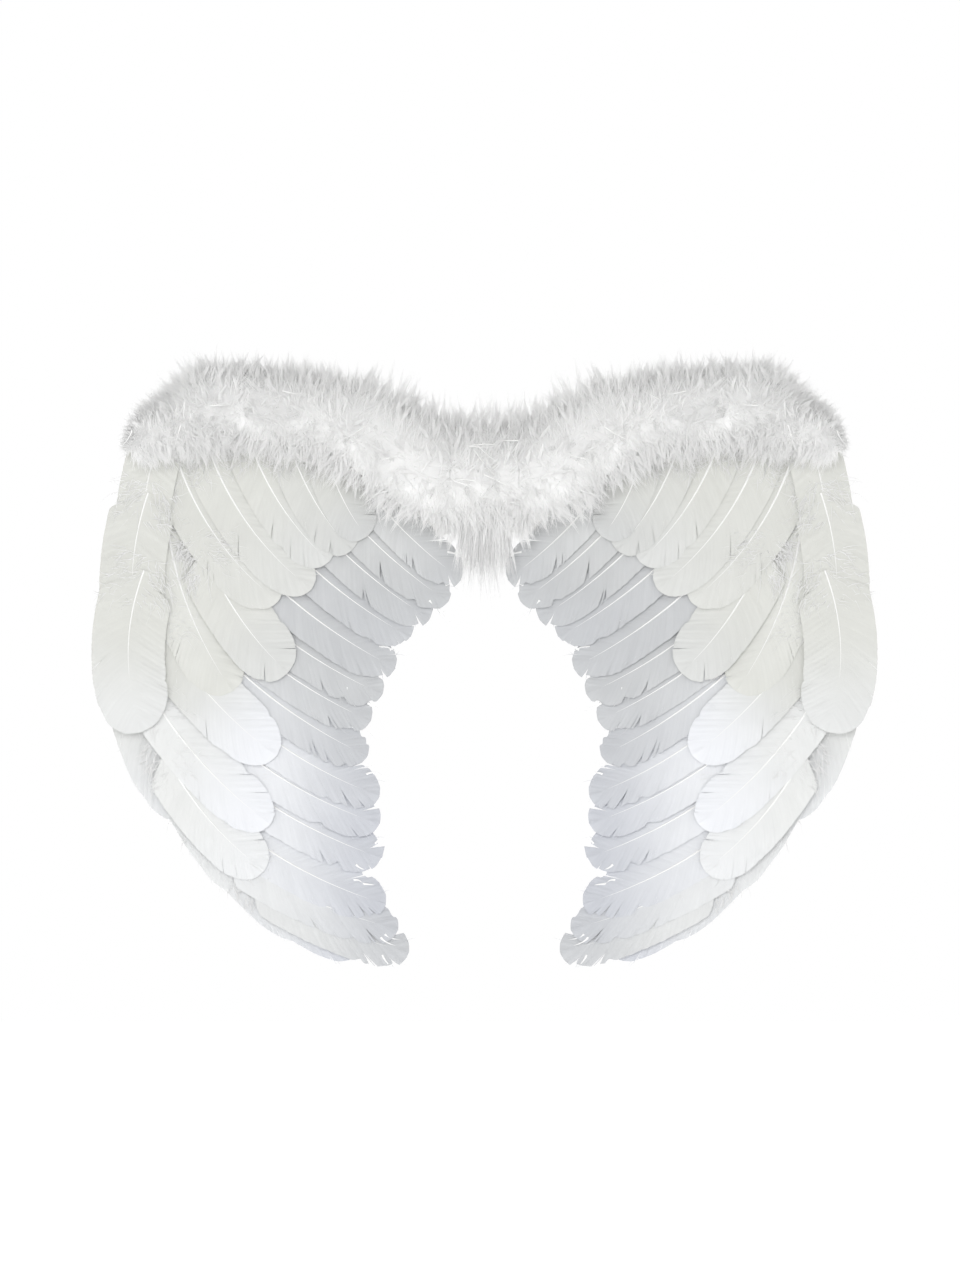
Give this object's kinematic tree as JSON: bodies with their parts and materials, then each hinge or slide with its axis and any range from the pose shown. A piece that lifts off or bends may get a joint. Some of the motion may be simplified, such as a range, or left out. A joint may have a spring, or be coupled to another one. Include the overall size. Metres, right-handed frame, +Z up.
{
  "type": "feather angel wings",
  "caption": "Pair of white feather costume wings with overlapping rows of feathers, a fluffy marabou top edge, a felt backing and elastic arm loops.",
  "frame": {"origin": "middle of the back pad's rear face, where the wings sit between the wearer's shoulder blades", "axes": "+Z up, +X across the wings, -Y the way the feathered face looks, +Y towards the wearer"},
  "size_m": [0.5962, 0.1726, 0.4748],
  "materials": {
    "cream_feather": "warm white feather vane, soft and slightly silky",
    "cool_feather": "cool white feather vane, soft and slightly silky",
    "fluff": "white downy marabou, matt",
    "felt": "white felt, matt",
    "elastic": "white knitted elastic"
  },
  "bodies": {
    "root": {"arm_loop_left": "elastic", "arm_loop_right": "elastic", "back_pad": "felt", "edge_coverts_left": "cream_feather", "edge_coverts_right": "cream_feather", "marabou_centre": "fluff", "marabou_left": "fluff", "marabou_right": "fluff", "mid_covert_1_left": "cream_feather", "mid_covert_1_right": "cream_feather", "mid_covert_2_left": "cream_feather", "mid_covert_2_right": "cream_feather", "mid_covert_3_left": "cream_feather", "mid_covert_3_right": "cream_feather", "primary_1_left": "cool_feather", "primary_1_right": "cool_feather", "primary_2_left": "cool_feather", "primary_2_right": "cool_feather", "primary_3_left": "cool_feather", "primary_3_right": "cool_feather", "primary_4_left": "cool_feather", "primary_4_right": "cool_feather", "primary_5_left": "cream_feather", "primary_5_right": "cream_feather", "primary_6_left": "cream_feather", "primary_6_right": "cream_feather", "rim_feathers_left": "cool_feather", "rim_feathers_right": "cool_feather", "secondary_10_left": "cool_feather", "secondary_10_right": "cool_feather", "secondary_1_left": "cool_feather", "secondary_1_right": "cool_feather", "secondary_2_left": "cool_feather", "secondary_2_right": "cool_feather", "secondary_3_left": "cool_feather", "secondary_3_right": "cool_feather", "secondary_4_left": "cool_feather", "secondary_4_right": "cool_feather", "secondary_5_left": "cool_feather", "secondary_5_right": "cool_feather", "secondary_6_left": "cool_feather", "secondary_6_right": "cool_feather", "secondary_7_left": "cool_feather", "secondary_7_right": "cool_feather", "secondary_8_left": "cool_feather", "secondary_8_right": "cool_feather", "secondary_9_left": "cool_feather", "secondary_9_right": "cool_feather", "upper_covert_1_left": "cream_feather", "upper_covert_1_right": "cream_feather", "upper_covert_2_left": "cream_feather", "upper_covert_2_right": "cream_feather", "upper_covert_3_left": "cream_feather", "upper_covert_3_right": "cream_feather", "upper_covert_4_left": "cream_feather", "upper_covert_4_right": "cream_feather", "upper_covert_5_left": "cream_feather", "upper_covert_5_right": "cream_feather", "wing_panel_left": "felt", "wing_panel_right": "felt"}
  },
  "joints": []
}
